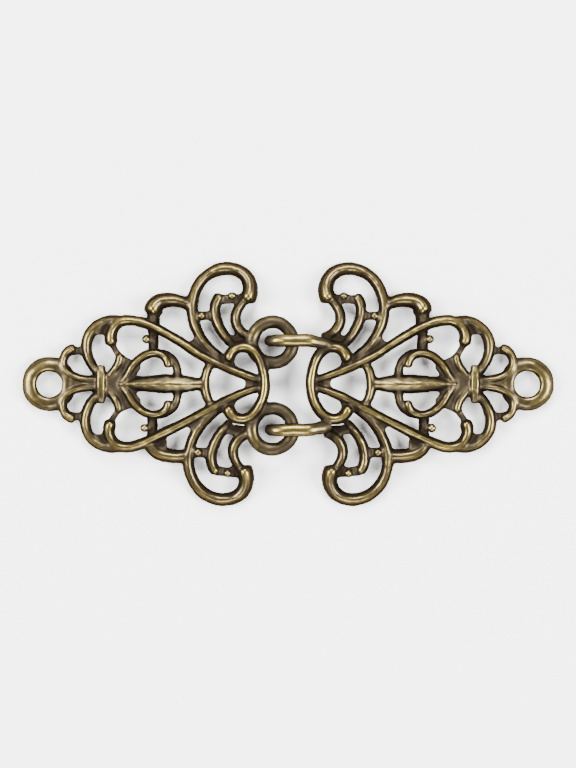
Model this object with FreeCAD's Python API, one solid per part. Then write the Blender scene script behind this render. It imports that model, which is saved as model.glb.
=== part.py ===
"""Filigree hook and eye clasp for a cape or cardigan: two cast metal halves, shown fastened.

Each half is one casting: a pierced, slightly domed panel of scrollwork that ends in a sewing ring.
The left half carries two eyes, and the right half two hooks that drop through them.
Sizes are millimetres. The clasp lies on its back: X runs along it towards the hook half, Y up the panel and
Z out of its face. The origin is under the middle of the clasp, on the surface that it lies on.
Everything is laid out for the right half, where "along" is the distance from the clasp's middle, and the left
half is its mirror image.
"""
import FreeCAD
import Part
import math
import os

from FreeCAD import Vector

# Driving sizes of the whole clasp
LENGTH = 65.0  # over the two sewing rings

# Dome of the panel: height of the surface that the strands' centres follow, over the flat back
CROWN = 2.2  # rise of the dome in the middle of the clasp
CROWN_REACH = 32.0  # from the middle to where the dome ends, along the clasp
CROWN_SPAN = 15.0  # from the axis to where the dome ends, up the panel
SEAT = 0.4  # height of the dome's edge
BELOW = 2.0  # depth that is cut away under the back

# Outlines of a strand's section, across and up, in half-widths
RIDGE_OUTLINE = [
    (0.00, 0.80),
    (-0.38, 0.66),
    (-0.62, 0.22),
    (-0.80, -0.26),
    (-1.00, -0.58),
    (-0.80, -0.85),
    (0.00, -0.90),
    (0.80, -0.85),
    (1.00, -0.58),
    (0.80, -0.26),
    (0.62, 0.22),
    (0.38, 0.66),
]
ROUND_OUTLINE = [
    (0.00, 1.00),
    (-0.71, 0.71),
    (-1.00, 0.00),
    (-0.71, -0.71),
    (0.00, -1.00),
    (0.71, -0.71),
    (1.00, 0.00),
    (0.71, 0.71),
]
LOFT_DEGREE = 3
STRAND_STEPS = (0, 0.5)  # where the sections stand between two points of a strand

# Ends of the strands: a blunt, rounded bulb
BLUNT = 0.6  # depth of the rounding, in half-widths
END_TURNS = (30, 60, 80)  # sections round the end, in degrees

# Sewing ring at the outer end of a half
RING_BORE = 1.6  # radius
RING_RIM = 3.35  # radius
RING_THICK = 1.6
RING_INNER_ROUND = 0.4
RING_TOP_ROUND = 1.1
RING_BACK_ROUND = 0.4
RING_ALONG = LENGTH / 2 - RING_RIM

# Eyes and hooks, one of each above and below the axis
EYE_ALONG = 1.9  # from the clasp's middle, on the left half
EYE_UPS = (5.05, -5.45)
EYE_RADIUS = 2.5  # to the middle of the wire
EYE_WIRE = 0.82  # half the wire
EYE_HEIGHT = 2.35
LINK_GAP = 0.15  # between hook and eye
HOOK_UPS = (5.25, -5.55)
HOOK_WIRE = 0.8  # half the wire
HOOK_TIP = 0.6  # half the wire at the tip
HOOK_TOP = EYE_HEIGHT + EYE_WIRE + LINK_GAP + HOOK_WIRE
HOOK_UNDER = EYE_HEIGHT - EYE_WIRE - LINK_GAP - HOOK_TIP
HOOK_BEND = (HOOK_TOP - HOOK_UNDER) / 2  # radius of the turn
HOOK_TURN_ALONG = -0.5  # where the turn starts and ends
HOOK_TIP_ALONG = 0.9
HOOK_TURNS = (30, 60, 90, 120, 150)  # sections round the turn, in degrees
# Arm of a hook, from its root under the C-scroll's shoulder. Columns: along, nearer the axis, lower than the
# arm's straight run, and half of the width.
HOOK_ARM = [
    (5.0, 0.45, 1.25, 0.74),
    (3.7, 0.20, 0.50, 0.78),
    (2.3, 0.00, 0.00, 0.80),
    (0.9, 0.00, 0.00, 0.80),
]

# Every strand's table has a row for each point that it passes, with four columns:
# along, up, lift over the dome, and half of its width there.
BIG_SCROLL = [
    (7.3, 2.8, 0.00, 0.62),
    (9.4, 4.2, 0.00, 0.70),
    (11.0, 6.4, 0.05, 0.75),
    (11.7, 8.8, 0.10, 0.78),
    (11.4, 11.1, 0.10, 0.80),
    (10.3, 12.9, 0.10, 0.82),
    (8.6, 13.95, 0.10, 0.85),
    (6.7, 14.05, 0.12, 0.88),
    (5.25, 13.25, 0.18, 0.94),
    (4.65, 11.9, 0.25, 1.02),
    (4.85, 10.6, 0.30, 1.10),
]
SECOND_LEAF = [
    (6.6, 4.6, -0.10, 0.60),
    (7.5, 5.6, 0.00, 0.70),
    (8.4, 7.0, 0.00, 0.75),
    (8.9, 8.6, 0.05, 0.75),
    (8.8, 9.8, 0.10, 0.76),
    (8.4, 10.55, 0.15, 0.76),
]
THIRD_LEAF = [
    (5.3, 10.2, 0.10, 0.65),
    (6.0, 9.3, 0.05, 0.70),
    (6.4, 8.1, 0.00, 0.74),
    (6.1, 6.9, 0.00, 0.74),
    (5.3, 6.05, 0.00, 0.72),
    (4.3, 5.7, 0.00, 0.66),
]
MAIN_RIB_UPPER = [
    (2.9, 0.35, 0.20, 0.60),
    (5.0, 1.0, 0.30, 0.64),
    (8.1, 2.3, 0.35, 0.68),
    (10.4, 3.4, 0.38, 0.68),
    (12.6, 4.8, 0.40, 0.68),
    (15.0, 6.25, 0.40, 0.70),
    (17.4, 7.4, 0.40, 0.74),
    (19.3, 7.75, 0.40, 0.74),
    (20.7, 7.4, 0.42, 0.76),
    (21.45, 6.4, 0.45, 0.80),
    (21.5, 5.15, 0.50, 0.86),
]
MAIN_RIB_LOWER = [
    (2.9, 0.35, 0.20, 0.60),
    (5.0, 0.9, 0.30, 0.64),
    (8.1, 2.3, 0.35, 0.68),
    (10.5, 3.6, 0.38, 0.68),
    (12.8, 4.8, 0.40, 0.68),
    (15.0, 5.9, 0.40, 0.70),
    (17.5, 7.1, 0.40, 0.74),
    (19.6, 7.7, 0.40, 0.74),
    (21.1, 7.25, 0.42, 0.76),
    (21.8, 6.1, 0.45, 0.80),
    (21.65, 4.9, 0.50, 0.88),
]
OUTER_BULGE = [
    (22.6, 0.9, 0.00, 0.60),
    (23.6, 1.9, 0.00, 0.70),
    (24.35, 3.2, 0.05, 0.75),
    (24.6, 4.8, 0.05, 0.76),
    (24.2, 6.1, 0.05, 0.76),
    (23.3, 7.1, 0.05, 0.76),
    (22.0, 7.65, 0.10, 0.76),
    (20.5, 7.75, 0.15, 0.64),
]
TAIL_CURL = [
    (22.9, 0.52, 0.20, 0.50),
    (24.5, 0.55, 0.22, 0.56),
    (25.9, 0.85, 0.26, 0.60),
    (26.85, 1.4, 0.30, 0.62),
    (27.4, 2.3, 0.30, 0.64),
    (27.3, 3.3, 0.30, 0.66),
    (26.8, 4.0, 0.30, 0.70),
    (26.25, 4.25, 0.30, 0.74),
]
SIDE_PETAL = [
    (20.3, 0.3, 0.10, 0.55),
    (19.6, 1.0, 0.20, 0.62),
    (19.0, 2.0, 0.25, 0.64),
    (18.1, 3.0, 0.25, 0.62),
    (17.0, 3.65, 0.25, 0.62),
    (15.8, 3.72, 0.28, 0.62),
    (14.9, 3.15, 0.32, 0.62),
    (14.55, 2.3, 0.38, 0.62),
]
PETAL_BACK = [
    (16.0, 3.85, -0.05, 0.50),
    (14.8, 3.6, -0.10, 0.56),
    (13.9, 2.85, -0.10, 0.60),
    (13.5, 1.9, -0.10, 0.60),
    (13.45, 0.7, -0.10, 0.60),
]
HUB_LEAF = [
    (21.9, 0.7, 0.10, 0.60),
    (21.1, 1.75, 0.15, 0.66),
    (20.6, 2.6, 0.20, 0.68),
    (20.45, 3.35, 0.20, 0.66),
]
SIDE_SCROLL_UPPER = [
    (11.6, 9.1, 0.00, 0.70),
    (12.6, 9.9, 0.00, 0.82),
    (13.9, 10.25, 0.05, 0.92),
    (15.1, 10.2, 0.10, 1.00),
    (16.0, 9.8, 0.15, 1.14),
    (16.4, 9.1, 0.20, 1.26),
]
SIDE_SCROLL_LOWER = [
    (12.1, 8.6, 0.00, 0.80),
    (13.2, 8.8, 0.00, 0.90),
    (14.4, 8.75, 0.05, 0.94),
    (15.5, 8.5, 0.05, 0.94),
    (16.4, 7.9, 0.05, 0.90),
    (16.9, 7.1, 0.00, 0.80),
]
SIDE_STUB = [
    (16.55, 9.4, 0.00, 0.70),
    (16.45, 8.5, -0.15, 0.85),
    (16.4, 7.9, -0.20, 0.90),
    (16.3, 7.1, -0.15, 0.80),
]
TRANSVERSE_ARC = [
    (9.1, 2.7, 0.05, 0.55),
    (9.85, 1.6, 0.15, 0.66),
    (10.12, 0.0, 0.20, 0.68),
    (9.85, -1.6, 0.15, 0.66),
    (9.1, -2.7, 0.05, 0.55),
]
C_SCROLL = [
    (7.15, 3.2, 0.70, 0.86),
    (6.8, 3.9, 0.70, 0.80),
    (5.9, 4.45, 0.70, 0.74),
    (4.8, 4.4, 0.70, 0.74),
    (3.85, 3.7, 0.70, 0.74),
    (3.2, 2.4, 0.70, 0.74),
    (2.85, 0.9, 0.70, 0.74),
    (2.85, -0.7, 0.70, 0.74),
    (3.2, -2.1, 0.70, 0.74),
    (3.9, -3.35, 0.70, 0.74),
    (4.8, -4.1, 0.70, 0.74),
    (5.9, -4.25, 0.70, 0.74),
    (6.8, -3.8, 0.70, 0.80),
    (7.2, -3.15, 0.70, 0.86),
]
STAY = [
    (16.4, 3.8, -0.40, 0.75),
    (16.4, 5.3, -0.40, 0.72),
    (16.4, 7.0, -0.35, 0.75),
]
COLLAR_RIDGE = [
    (0.0, 2.3, 0.25, 0.35),
    (0.0, 1.3, 0.60, 0.37),
    (0.0, 0.1, 0.72, 0.38),
    (0.0, -1.1, 0.60, 0.37),
    (0.0, -2.1, 0.25, 0.35),
]
COLLAR_RIDGES_ALONG = (22.48, 23.0)
SPINDLE_BASE = [
    (20.4, 0.0, 0.05, 0.60),
    (18.2, 0.0, 0.05, 1.05),
    (15.0, 0.0, 0.05, 1.26),
    (12.2, 0.0, 0.05, 1.10),
    (10.3, 0.0, 0.10, 0.75),
]
SPINDLE_BASE_FLAT = 0.6  # height of the base's section, over a strand's

# Low webs that tie neighbouring strands together: straight flat bars. Columns: from along, from up, to along,
# to up, half-width and lift.
WEB_THICK = 0.7
WEBS = [
    (4.4, 5.35, 7.1, 5.35, 0.55, -0.35),
    (4.7, -5.7, 7.4, -5.5, 0.60, -0.35),
    (9.0, 8.3, 11.6, 8.3, 0.52, -0.20),
    (9.6, -8.35, 12.1, -8.35, 0.60, -0.20),
    (5.5, 10.4, 8.3, 10.3, 0.55, -0.20),
    (6.0, -10.8, 8.8, -10.6, 0.60, -0.20),
    (7.2, 3.0, 6.8, 1.9, 0.55, 0.05),
    (7.2, -2.9, 6.8, -1.9, 0.55, 0.05),
    (3.0, 0.0, 5.2, 0.0, 0.75, -0.10),
    (9.3, 3.7, 11.7, 5.3, 0.50, -0.20),
    (9.4, -3.8, 11.9, -5.5, 0.50, -0.20),
    (14.7, -7.3, 16.8, -7.3, 0.60, -0.15),
    (18.2, 2.35, 19.8, 0.5, 0.55, -0.20),
    (18.2, -2.35, 19.8, -0.5, 0.55, -0.20),
    (19.3, 2.5, 20.5, 3.1, 0.50, -0.15),
    (19.3, -2.5, 20.5, -3.0, 0.50, -0.15),
    (20.5, 3.3, 21.4, 4.8, 0.40, -0.05),
    (20.6, -3.1, 21.6, -4.6, 0.40, -0.05),
    (21.6, 6.6, 23.9, 6.6, 0.55, -0.10),
    (21.8, -6.6, 24.0, -6.6, 0.55, -0.10),
    (19.9, 0.0, 22.3, 0.0, 1.15, -0.05),
    (19.7, 1.8, 20.9, 1.8, 0.55, -0.25),
    (19.7, -1.8, 20.9, -1.7, 0.55, -0.25),
    (25.0, 0.0, 26.5, 0.0, 0.35, -0.10),
    (26.4, 4.0, 24.7, 4.1, 0.45, -0.25),
    (26.5, -3.85, 24.8, -4.0, 0.45, -0.25),
    (22.3, -2.0, 23.15, -2.0, 0.40, 0.05),
]

# Spindle: the petal on the axis, with a ridge along its top. Columns: along, half-width, rise of the ridge.
SPINDLE_LIFT = 0.45
SPINDLE = [
    (20.6, 0.14, 0.20),
    (19.4, 0.42, 0.36),
    (17.8, 0.74, 0.50),
    (16.2, 0.92, 0.58),
    (14.6, 1.00, 0.60),
    (13.0, 0.96, 0.58),
    (11.6, 0.82, 0.50),
    (10.5, 0.64, 0.40),
]
SPINDLE_DEPTH = 0.5

# Pairs that stand above and below the axis. The lower one of some stands a little further along, or nearer
# the axis. Columns: table, shift along and shift up.
PAIRS = [
    (BIG_SCROLL, 0.45, 0.0),
    (SECOND_LEAF, 0.45, 0.0),
    (THIRD_LEAF, 0.3, 0.3),
    (OUTER_BULGE, 0.15, 0.0),
    (TAIL_CURL, 0.1, -0.15),
    (SIDE_PETAL, 0.0, 0.0),
    (PETAL_BACK, 0.0, -0.1),
    (HUB_LEAF, 0.1, -0.2),
    (STAY, 0.15, -0.1),
]
# Strands that stand on one side of the axis, or cross it. Columns: table, and 1 above or -1 below the axis.
SINGLES = [
    (MAIN_RIB_UPPER, 1),
    (MAIN_RIB_LOWER, -1),
    (SIDE_SCROLL_UPPER, 1),
    (SIDE_SCROLL_LOWER, -1),
    (SIDE_STUB, 1),
    (TRANSVERSE_ARC, 1),
]

# Beads, with four columns: along, up, lift and radius
BEADS = [
    (10.5, 8.3, 0.25, 0.52),
    (10.95, -8.3, 0.25, 0.55),
    (6.8, 10.75, 0.25, 0.52),
    (7.35, -10.85, 0.25, 0.55),
    (17.25, 5.45, 0.15, 0.58),
    (17.45, -5.35, 0.15, 0.58),
    (4.7, -6.2, 0.30, 0.42),
]


def crown(along, up):
    """Height of the dome over the back at a point of the panel."""
    return SEAT + CROWN * (1 - (along / CROWN_REACH) ** 2) * (1 - (up / CROWN_SPAN) ** 2)


def section(centre, way, side, half, outline):
    """Section square to a strand's way, with its half-width along the side that is given."""
    across = (side - way * side.dot(way)).normalize() * half
    rise = across.cross(way)
    curve = Part.BSplineCurve()
    curve.interpolate(Points=[centre + across * x + rise * y for x, y in outline], PeriodicFlag=True)
    return Part.Wire([curve.toShape()])


def bulb(end, way, half):
    """Sections of the blunt, rounded end of a rod, from the full one to the smallest."""
    sections = []
    for turn in END_TURNS:
        angle = math.radians(turn)
        sections.append((end + way * half * BLUNT * math.sin(angle), way, half * math.cos(angle)))
    return sections


def rod(points, halves, outline, side=None, both_ends=False):
    """Solid rod through points, of a changing half-width, with a blunt bulb at its last end, or at both."""
    line = Part.BSplineCurve()
    line.interpolate(points)
    places = [line.parameter(p) for p in points]
    sections = []
    if both_ends:
        way = line.tangent(places[0])[0]
        for end, _, half in reversed(bulb(points[0], way * -1, halves[0])):
            sections.append((end, way, half))
    for i in range(len(points) - 1):
        for step in STRAND_STEPS:
            place = places[i] + (places[i + 1] - places[i]) * step
            half = halves[i] + (halves[i + 1] - halves[i]) * step
            sections.append((line.value(place), line.tangent(place)[0], half))
    way = line.tangent(places[-1])[0]
    sections.append((points[-1], way, halves[-1]))
    sections.extend(bulb(points[-1], way, halves[-1]))
    wires = []
    for centre, way, half in sections:
        across = side or way.cross(Vector(0, 0, 1))
        wires.append(section(centre, way, across, half, outline))
    return Part.makeLoft(wires, True, False, False, LOFT_DEGREE)


def strand(rows, flip=1, shift_along=0, shift_up=0, flat=1, both_ends=False):
    """Strand of the panel from its table, flipped below the axis by -1."""
    points = []
    for along, up, lift, _ in rows:
        along = along + shift_along
        up = flip * (up + shift_up)
        points.append(Vector(along, up, crown(along, up) + lift))
    outline = [(x, y * flat) for x, y in RIDGE_OUTLINE]
    return rod(points, [row[3] for row in rows], outline, both_ends=both_ends)


def spindle():
    """Petal on the axis: a long drop with a ridge along its top."""
    wires = []
    for along, half, rise in SPINDLE:
        base = crown(along, 0) + SPINDLE_LIFT
        corners = [(half, base), (0, base + rise), (-half, base), (0, base - SPINDLE_DEPTH * half)]
        corners.append(corners[0])
        wires.append(Part.makePolygon([Vector(along, up, height) for up, height in corners]))
    return Part.makeLoft(wires, True, False)


def bead(along, up, lift, radius):
    return Part.makeSphere(radius, Vector(along, up, crown(along, up) + lift))


def web(from_along, from_up, to_along, to_up, half, lift):
    """Flat bar between two strands, at the dome's height in its middle."""
    run = Vector(to_along - from_along, to_up - from_up, 0)
    middle = Vector(from_along + to_along, from_up + to_up, 0) / 2
    bar = Part.makeBox(run.Length, 2 * half, WEB_THICK, Vector(-run.Length / 2, -half, -WEB_THICK / 2))
    bar.rotate(Vector(0, 0, 0), Vector(0, 0, 1), math.degrees(math.atan2(run.y, run.x)))
    bar.translate(middle + Vector(0, 0, crown(middle.x, middle.y) + lift))
    return bar


def is_rim(edge, top):
    """Whether a disc's edge is its outer rim, on its top or on its back."""
    outer = len(edge.Vertexes) == 1 and math.isclose(edge.Curve.Radius, RING_RIM)
    return outer and (edge.CenterOfMass.z > RING_THICK / 2) == top


def sewing_ring():
    """Thick ring with rounded edges, and a straight wall in its bore."""
    centre = Vector(RING_ALONG, 0, 0)
    disc = Part.makeCylinder(RING_RIM, RING_THICK, centre)
    for rounding, top in ((RING_TOP_ROUND, True), (RING_BACK_ROUND, False)):
        disc = disc.makeFillet(rounding, [e for e in disc.Edges if is_rim(e, top)])
    ring = disc.cut(Part.makeCylinder(RING_BORE, RING_THICK, centre))
    rims = [e for e in ring.Edges if e.Closed and math.isclose(e.Curve.Radius, RING_BORE)]
    return ring.makeFillet(RING_INNER_ROUND, rims)


def eye(up):
    """Eye of the left half, laid out on the right."""
    return Part.makeTorus(EYE_RADIUS, EYE_WIRE, Vector(EYE_ALONG, up, EYE_HEIGHT))


def hook(up):
    """Hook of the right half: an arm over the eye's rim, a turn down through the eye, and a tip under it."""
    points = []
    halves = []
    for along, nearer, lower, half in HOOK_ARM:
        points.append(Vector(along, up - math.copysign(nearer, up), HOOK_TOP - lower))
        halves.append(half)
    points.append(Vector(HOOK_TURN_ALONG, up, HOOK_TOP))
    halves.append(HOOK_WIRE)
    for turn in HOOK_TURNS:
        angle = math.radians(turn)
        along = HOOK_TURN_ALONG - HOOK_BEND * math.sin(angle)
        points.append(Vector(along, up, HOOK_TOP - HOOK_BEND * (1 - math.cos(angle))))
        halves.append(HOOK_WIRE + (HOOK_TIP - HOOK_WIRE) * turn / 180)
    points.append(Vector(HOOK_TURN_ALONG, up, HOOK_UNDER))
    points.append(Vector(HOOK_TIP_ALONG, up, HOOK_UNDER))
    halves.extend([HOOK_TIP, HOOK_TIP])
    return rod(points, halves, ROUND_OUTLINE, Vector(0, 1, 0))


def panel_pieces():
    """Every strand, web, bead and ring of a half's panel."""
    pieces = []
    for rows, shift_along, shift_up in PAIRS:
        pieces.append(strand(rows))
        pieces.append(strand(rows, -1, shift_along, shift_up))
    for rows, flip in SINGLES:
        pieces.append(strand(rows, flip))
    pieces.append(strand(C_SCROLL, both_ends=True))
    for place in COLLAR_RIDGES_ALONG:
        pieces.append(strand(COLLAR_RIDGE, shift_along=place))
    pieces.append(strand(SPINDLE_BASE, flat=SPINDLE_BASE_FLAT))
    pieces.extend(web(*row) for row in WEBS)
    pieces.extend(bead(*row) for row in BEADS)
    pieces.append(spindle())
    pieces.append(sewing_ring())
    return pieces


def casting(pieces):
    """The pieces as one solid, flat where it would reach below its back."""
    whole = pieces[0].multiFuse(pieces[1:])
    box = whole.BoundBox
    below = Part.makeBox(box.XLength, box.YLength, BELOW, Vector(box.XMin, box.YMin, -BELOW))
    return whole.cut(below)


def main():
    os.makedirs("parts", exist_ok=True)
    panel = panel_pieces()
    hook_half = casting(panel + [hook(up) for up in HOOK_UPS])
    eye_half = casting(panel + [eye(up) for up in EYE_UPS]).mirror(Vector(0, 0, 0), Vector(1, 0, 0))
    hook_half.exportStep("parts/hook_half.step")
    eye_half.exportStep("parts/eye_half.step")


if __name__ == "__main__":
    main()
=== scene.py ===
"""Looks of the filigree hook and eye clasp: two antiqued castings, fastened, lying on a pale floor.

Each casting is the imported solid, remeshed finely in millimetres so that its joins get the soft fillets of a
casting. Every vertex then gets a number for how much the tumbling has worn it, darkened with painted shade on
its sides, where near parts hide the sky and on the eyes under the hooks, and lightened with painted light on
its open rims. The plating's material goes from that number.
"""

import math

import bpy
import numpy as np
from mathutils import Matrix, Vector, noise
from mathutils.bvhtree import BVHTree


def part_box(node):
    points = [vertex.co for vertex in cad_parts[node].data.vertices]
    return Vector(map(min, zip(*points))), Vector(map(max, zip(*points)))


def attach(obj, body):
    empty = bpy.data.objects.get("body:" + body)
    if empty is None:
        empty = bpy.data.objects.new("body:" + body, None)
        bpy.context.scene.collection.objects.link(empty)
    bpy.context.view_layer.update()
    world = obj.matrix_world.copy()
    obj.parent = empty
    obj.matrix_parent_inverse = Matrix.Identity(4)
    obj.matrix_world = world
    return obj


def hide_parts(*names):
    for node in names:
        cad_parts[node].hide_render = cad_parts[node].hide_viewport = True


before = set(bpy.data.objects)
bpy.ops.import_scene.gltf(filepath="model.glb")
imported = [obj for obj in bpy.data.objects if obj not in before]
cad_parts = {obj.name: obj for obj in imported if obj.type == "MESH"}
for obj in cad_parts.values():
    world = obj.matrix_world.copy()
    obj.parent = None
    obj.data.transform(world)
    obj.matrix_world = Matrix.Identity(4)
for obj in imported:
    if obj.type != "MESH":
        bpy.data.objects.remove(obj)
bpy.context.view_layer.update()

MM = 0.001

# Casting meshes, in millimetres
GRAIN = 0.136  # edge of a face
FILLET_ROUNDS = 9  # smoothing rounds that soften the joins
RIDGE_ROUNDS = 30  # smoothing rounds that the ridges are measured against
MEASURE_ROUNDS = 3  # smoothing rounds of the measures that the wear goes from
ROUND_SHARE = 0.5  # of the way to the neighbours' mean, in each round

# Dome of the panels, in millimetres: the height that the strands' centres follow
SEAT = 0.4
CROWN = 2.2
CROWN_REACH = 32.0
CROWN_SPAN = 15.0

# Unevenness that a hand-finished mould leaves: length and height of its waves, in millimetres
CAST_WAVES = [(2.2, 0.07), (0.8, 0.035)]

# Grid that measures how deep a place lies under its neighbours, in millimetres
CELL = 0.2
NEAR = 1.0

# Rays that measure how open a place is
RAYS = 28
RAY_START = 0.02  # over the surface, in millimetres
RAY_REACH = 6.0  # how far a neighbour still shades, in millimetres
RAY_FAN = 0.96  # share of the half sphere that the rays fill, so that none runs along the surface

# What the tumbling rubs, and painted shade where near parts hide the sky. Columns: share of the wear and
# shade, and the measures at which it starts and is full.
WEAR_AND_SHADE = {
    "height": (0.48, -0.85, -0.05),  # over the highest metal near by, in millimetres
    "ridge": (0.14, 0.0, 0.12),  # over the mean of the surroundings, in millimetres
    # openness: painted shade where near parts of the casting hide the sky, with the wear that open places get
    "open_sky": (0.16, 0.45, 1.0),
    "lift": (0.22, 0.0, 1.5),  # over the dome, in millimetres
}

# Sides, darkened with painted shade: share of the wear and shade that an upright one keeps, and the upward
# parts of the normal from upright to unshaded
SIDE_SHADE = 0.45
SIDE_SLOPE = (0.0, 0.7)

# Open rims, lighter partly from the wear that other castings in the barrel strike from outside and partly
# from painted light, as they face the open tent: openness and upward part of the normal
RIM_WEAR_AND_LIGHT = 0.55
RIM_LEAST = 0.62
RIM_OPEN = (0.85, 1.0)
RIM_SLOPE = (-0.5, 0.1)

# Dark patina that stays on flat grounds: depth in millimetres, and upward part of the normal
PATINA = 0.26
PATINA_DEPTH = (0.35, 1.0)
PATINA_SLOPE = (0.4, 0.9)

# Eyes, which the hooks keep from wear and darken with painted shade: centres, radius that takes in the ring,
# and where the panel ends
EYES = [(-1.9, 5.05), (-1.9, -5.45)]
EYE_REACH = 3.6
EYE_EDGE = 0.6
EYE_DULL_AND_SHADE = 0.45
PANEL_END = (-3.9, -3.0)

# Plating: wear with painted shade and light, and colour, from the brown-black recesses to the worn olive-gold
PLATING = [
    (0.0, "201A13"),
    (0.14, "2F2920"),
    (0.34, "342D24"),
    (0.54, "423A2A"),
    (0.76, "544A33"),
    (0.98, "7E6F41"),
]
EDGE_TINT = "7A6544"
BLOTCH = 1.6 * MM  # width of the uneven patches of wear
BLOTCH_WEAR = 0.34
SPECK = 0.35 * MM  # width of the specks in them, coarser than real ones so that they show
SPECK_WEAR = 0.16
PIT = 0.22 * MM  # width of the casting's pits
PIT_DEPTH = 0.03 * MM
PIT_STRENGTH = 0.25
DULL = (0.2, 0.6)  # wear with painted shade and light, and roughness, where the plating is dull
GLOSSY = (0.75, 0.31)  # wear with painted shade and light, and roughness, where it is worn

# Light tent: softboxes with their places and sizes in metres and their power in watts
SOFTBOXES = [
    ("left", (-0.45, 0.05, 0.38), 0.30, 11.0),
    ("right", (0.45, -0.05, 0.38), 0.30, 11.0),
    ("top", (0.0, 0.45, 0.42), 0.25, 7.5),
    ("bottom", (0.0, -0.5, 0.38), 0.20, 3.5),
]
TENT_COLOUR = "FFFFFF"
TENT_GLOW = 0.35

# Floor: half of its side in metres
FLOOR_HALF = 1.5

# Camera: lens and width of its gate in millimetres, and width of the floor that the frame shows, in metres
LENS = 100.0
GATE = 24.0
SHOWN = 0.0705


def linear(code):
    """Linear colour from an sRGB hex value."""
    parts = [int(code[i:i + 2], 16) / 255 for i in (0, 2, 4)]
    return [p / 12.92 if p <= 0.04045 else ((p + 0.055) / 1.055) ** 2.4 for p in parts] + [1.0]


def add(tree, kind, inputs, stops=None, **settings):
    """Adds a node with its settings. An input is a number, a colour or another node's output."""
    node = tree.nodes.new(kind)
    for name, value in settings.items():
        setattr(node, name, value)
    for name, value in inputs.items():
        if isinstance(value, bpy.types.NodeSocket):
            tree.links.new(value, node.inputs[name])
        else:
            node.inputs[name].default_value = value
    if stops:
        ramp = node.color_ramp.elements
        while len(ramp) < len(stops):
            ramp.new(0.5)
        for element, (place, code) in zip(ramp, stops):
            element.position = place
            element.color = linear(code)
    return node


def spread(values, low, high):
    """Values from 0 at low to 1 at high, eased at both ends."""
    t = np.clip((values - low) / (high - low), 0, 1)
    return t * t * (3 - 2 * t)


def read(items, field, width, kind=float):
    """A field of a mesh's vertices, edges or normals, as an array with a row for each."""
    values = np.empty(len(items) * width, kind)
    items.foreach_get(field, values)
    return values.reshape(-1, width)


def move_to(mesh, points):
    """Moves the mesh's vertices to the points."""
    mesh.vertices.foreach_set("co", points.ravel())
    mesh.update()


def averaged(values, edges, counts, rounds):
    """Values of the vertices, moved towards their neighbours' mean, some rounds over."""
    values = values.copy()
    for _ in range(rounds):
        mean = np.empty_like(values)
        for k in range(values.shape[1]):
            mean[:, k] = np.bincount(edges[:, 0], values[edges[:, 1], k], len(values))
            mean[:, k] += np.bincount(edges[:, 1], values[edges[:, 0], k], len(values))
        values += ROUND_SHARE * (mean / counts[:, None] - values)
    return values


def uneven_cast(points):
    """How far a hand-finished mould leaves each vertex from its true place, in millimetres."""
    waves = np.zeros(len(points))
    for wave, height in CAST_WAVES:
        waves += height * np.array([noise.noise(Vector(p) / wave) for p in points.tolist()])
    return waves


def depth_under_neighbours(points):
    """How far each vertex lies under the highest metal near it, in millimetres."""
    corner = points.min(0)[:2] - NEAR
    columns = ((points[:, :2] - corner) / CELL).astype(int)
    steps = int(NEAR / CELL)
    heights = np.zeros(columns.max(0) + 2 + steps)
    np.maximum.at(heights, (columns[:, 0], columns[:, 1]), points[:, 2])
    highest = heights.copy()
    for i in range(-steps, steps + 1):
        for j in range(-steps, steps + 1):
            if i * i + j * j <= steps * steps:
                highest = np.maximum(highest, np.roll(heights, (i, j), (0, 1)))
    return highest[columns[:, 0], columns[:, 1]] - points[:, 2]


def ray_fan():
    """Directions over a surface that faces up, spread evenly in a spiral and denser towards its normal."""
    rays = np.arange(RAYS)
    rise = np.sqrt(1 - (rays + 0.5) / RAYS * RAY_FAN)
    flat = np.sqrt(1 - rise ** 2)
    angles = rays * math.pi * (3 - math.sqrt(5))
    return np.stack([flat * np.cos(angles), flat * np.sin(angles), rise], 1)


def openness(mesh, points, normals):
    """Share of the sky over each vertex that no near part of the casting hides."""
    tree = BVHTree.FromPolygons([Vector(p) for p in points], [list(f.vertices) for f in mesh.polygons])
    helper = np.where(np.abs(normals[:, 2:]) < 0.9, [[0.0, 0.0, 1.0]], [[1.0, 0.0, 0.0]])
    across = np.cross(helper, normals)
    across /= np.linalg.norm(across, axis=1)[:, None]
    along = np.cross(normals, across)
    starts = (points + normals * RAY_START).tolist()
    hits = np.zeros(len(points))
    for x, y, z in ray_fan():
        ways = across * x + along * y + normals * z
        for i, (start, way) in enumerate(zip(starts, ways.tolist())):
            if tree.ray_cast(start, way, RAY_REACH)[0] is not None:
                hits[i] += 1
    return 1 - hits / RAYS


def fine_copy(name, node):
    """Copy of the node's solid in millimetres, remeshed in even small faces."""
    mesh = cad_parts[node].data.copy()
    mesh.transform(Matrix.Scale(1 / MM, 4))
    piece = bpy.data.objects.new(name, mesh)
    bpy.context.scene.collection.objects.link(piece)
    remesh = piece.modifiers.new("fine_grid", "REMESH")
    remesh.mode = "VOXEL"
    remesh.voxel_size = GRAIN
    remesh.use_smooth_shade = True
    depsgraph = bpy.context.evaluated_depsgraph_get()
    fine = bpy.data.meshes.new_from_object(piece.evaluated_get(depsgraph))
    piece.modifiers.clear()
    piece.data = fine
    fine.name = name
    return piece


def shaded_by_hooks(points):
    """From 0 to 1 on the eyes, which lie low under the hooks."""
    x, y, _ = points.T
    shaded = np.zeros(len(points))
    for eye_x, eye_y in EYES:
        away = np.hypot(x - eye_x, y - eye_y)
        shaded = np.maximum(shaded, 1 - spread(away, EYE_REACH - EYE_EDGE, EYE_REACH))
    return shaded * spread(x, *PANEL_END)


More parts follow.
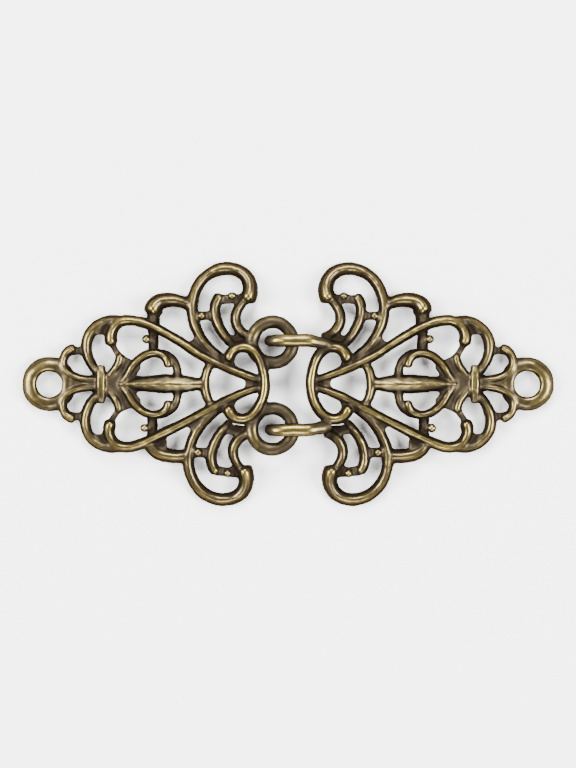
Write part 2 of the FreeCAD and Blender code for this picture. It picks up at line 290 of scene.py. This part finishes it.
def worn_and_shaded_share(mesh, points, edges, counts):
    """How much the tumbling has worn each vertex, with painted shade on its sides and where near parts hide
    the
    sky, and painted light on its open rims: from 0 or less in the recesses to about 1.
    """
    normals = read(mesh.vertex_normals, "vector", 3)
    up = normals[:, 2]
    x, y, z = points.T
    lift = z - SEAT - CROWN * (1 - (x / CROWN_REACH) ** 2) * (1 - (y / CROWN_SPAN) ** 2)
    ridge = ((points - averaged(points, edges, counts, RIDGE_ROUNDS)) * normals).sum(1)
    measures = np.stack([ridge, openness(mesh, points, normals), depth_under_neighbours(points)], 1)
    ridge, open_sky, depth = averaged(measures, edges, counts, MEASURE_ROUNDS).T
    found = {"height": -depth, "ridge": ridge, "open_sky": open_sky, "lift": lift}
    # wear, and painted shade where near parts hide the sky
    wear_and_shade = sum(share * spread(found[name], low, high) for name, (share, low, high) in WEAR_AND_SHADE.items())
    # open rims: partly wear, partly painted light
    rim = RIM_WEAR_AND_LIGHT * spread(open_sky, *RIM_OPEN) * spread(up, *RIM_SLOPE)
    # painted shade: sides darker than tops
    wear_and_shade *= SIDE_SHADE + (1 - SIDE_SHADE) * np.maximum(spread(up, *SIDE_SLOPE), rim)
    wear_and_shade = np.maximum(wear_and_shade, RIM_LEAST * rim)
    return wear_and_shade - PATINA * spread(depth, *PATINA_DEPTH) * spread(up, *PATINA_SLOPE)


def casting(name, node):
    """Cast half of the clasp: the node's solid with soft joins, and how worn each place is, together with its
    painted shade and painted light.
    """
    piece = fine_copy(name, node)
    mesh = piece.data
    edges = read(mesh.edges, "vertices", 2, int)
    counts = np.bincount(edges.ravel(), minlength=len(mesh.vertices)).astype(float)
    points = averaged(read(mesh.vertices, "co", 3), edges, counts, FILLET_ROUNDS)
    move_to(mesh, points)
    points += uneven_cast(points)[:, None] * read(mesh.vertex_normals, "vector", 3)
    low, high = (np.array(corner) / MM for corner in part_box(node))
    points = np.clip(points, low, high)
    move_to(mesh, points)
    wear_and_shade = worn_and_shaded_share(mesh, points, edges, counts)
    # painted shade of the hooks on the eyes, with the wear that the hooks keep off them
    if node == "eye_half":
        wear_and_shade *= 1 - EYE_DULL_AND_SHADE * shaded_by_hooks(points)
    # wear with painted shade and painted light, for the plating's colour
    mesh.attributes.new("wear_and_shade", "FLOAT", "POINT").data.foreach_set("value", wear_and_shade.astype(np.float32))
    mesh.transform(Matrix.Scale(MM, 4))
    mesh.materials.clear()
    mesh.materials.append(antique_brass)
    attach(piece, "root")
    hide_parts(node)


def plated_casting():
    """Antique brass plating on a zinc casting, tumbled: olive-gold where worn, brown-black in the recesses.
    Its colour goes from the casting's wear, which carries painted shade and painted light.

    The plating is thin and the casting under it slightly rough, so its gloss is broad and satin.
    """
    material = bpy.data.materials.new("antique_brass_plated_zinc_casting")
    material.use_nodes = True
    tree = material.node_tree
    shader = tree.nodes["Principled BSDF"]
    place = add(tree, "ShaderNodeTexCoord", {}).outputs["Object"]
    # the castings' wear with its painted shade and painted light
    wear_and_shade = add(tree, "ShaderNodeAttribute", {}, attribute_name="wear_and_shade").outputs["Fac"]
    blotch = add(tree, "ShaderNodeTexNoise", {"Vector": place, "Scale": 1 / BLOTCH, "Detail": 4.0})
    speck = add(tree, "ShaderNodeTexNoise", {"Vector": place, "Scale": 1 / SPECK, "Detail": 3.0})
    uneven = {0: blotch.outputs["Fac"], 1: BLOTCH_WEAR, 2: -BLOTCH_WEAR / 2}
    uneven = add(tree, "ShaderNodeMath", uneven, operation="MULTIPLY_ADD").outputs[0]
    uneven = {0: speck.outputs["Fac"], 1: SPECK_WEAR, 2: uneven}
    uneven = add(tree, "ShaderNodeMath", uneven, operation="MULTIPLY_ADD").outputs[0]
    shade_and_wear_level = add(tree, "ShaderNodeMath", {0: wear_and_shade, 1: uneven}, operation="ADD").outputs[0]
    shade_and_wear_level = add(tree, "ShaderNodeMath", {0: shade_and_wear_level, 1: SPECK_WEAR / 2}, operation="SUBTRACT").outputs[0]
    colour = add(tree, "ShaderNodeValToRGB", {"Fac": shade_and_wear_level}, stops=PLATING).outputs["Color"]
    tree.links.new(colour, shader.inputs["Base Color"])
    gloss = {"From Min": DULL[0], "From Max": GLOSSY[0], "To Min": DULL[1], "To Max": GLOSSY[1]}
    gloss = add(tree, "ShaderNodeMapRange", {"Value": shade_and_wear_level, **gloss}).outputs["Result"]
    tree.links.new(gloss, shader.inputs["Roughness"])
    shader.inputs["Metallic"].default_value = 1.0
    shader.inputs["Specular Tint"].default_value = linear(EDGE_TINT)
    pits = add(tree, "ShaderNodeTexNoise", {"Vector": place, "Scale": 1 / PIT, "Detail": 3.0}).outputs["Fac"]
    bump = add(tree, "ShaderNodeBump", {"Height": pits, "Strength": PIT_STRENGTH, "Distance": PIT_DEPTH})
    tree.links.new(bump.outputs["Normal"], shader.inputs["Normal"])
    return material


def pale_board():
    """Smooth painted board, so white that only the soft shadow shows on it."""
    material = bpy.data.materials.new("pale_painted_board")
    material.use_nodes = True
    shader = material.node_tree.nodes["Principled BSDF"]
    shader.inputs["Base Color"].default_value = linear("FBFAF8")
    shader.inputs["Roughness"].default_value = 0.8
    return material


def floor():
    """Pale floor under the clasp."""
    corners = [(x * FLOOR_HALF, y * FLOOR_HALF, 0) for x, y in ((-1, -1), (1, -1), (1, 1), (-1, 1))]
    mesh = bpy.data.meshes.new("floor")
    mesh.from_pydata(corners, [], [(0, 1, 2, 3)])
    mesh.materials.append(pale_board())
    board = bpy.data.objects.new("floor", mesh)
    bpy.context.scene.collection.objects.link(board)


def softbox(name, place, size, power):
    """Square area light at a place, aimed at the clasp."""
    light = bpy.data.lights.new(name, "AREA")
    light.shape = "SQUARE"
    light.size = size
    light.energy = power
    lamp = bpy.data.objects.new(name, light)
    lamp.location = place
    lamp.rotation_euler = (-Vector(place)).to_track_quat("-Z", "Y").to_euler()
    bpy.context.scene.collection.objects.link(lamp)


def studio():
    """Light tent: pale boxes on all sides, and a darker opening overhead, where the camera looks in."""
    world = bpy.data.worlds.new("studio")
    world.use_nodes = True
    background = world.node_tree.nodes["Background"]
    background.inputs["Color"].default_value = linear(TENT_COLOUR)
    background.inputs["Strength"].default_value = TENT_GLOW
    bpy.context.scene.world = world
    for row in SOFTBOXES:
        softbox(*row)


def camera():
    """Camera straight over the clasp, as the photo shows it, with the clasp across most of the frame."""
    data = bpy.data.cameras.new("camera")
    data.sensor_fit = "HORIZONTAL"
    data.sensor_width = GATE
    data.lens = LENS
    data.clip_start = 0.01
    eye = bpy.data.objects.new("camera", data)
    eye.location = (0, 0, SHOWN * LENS / GATE)
    bpy.context.scene.collection.objects.link(eye)
    bpy.context.scene.camera = eye


antique_brass = plated_casting()
casting("eye_casting", "eye_half")
casting("hook_casting", "hook_half")
floor()
studio()
camera()
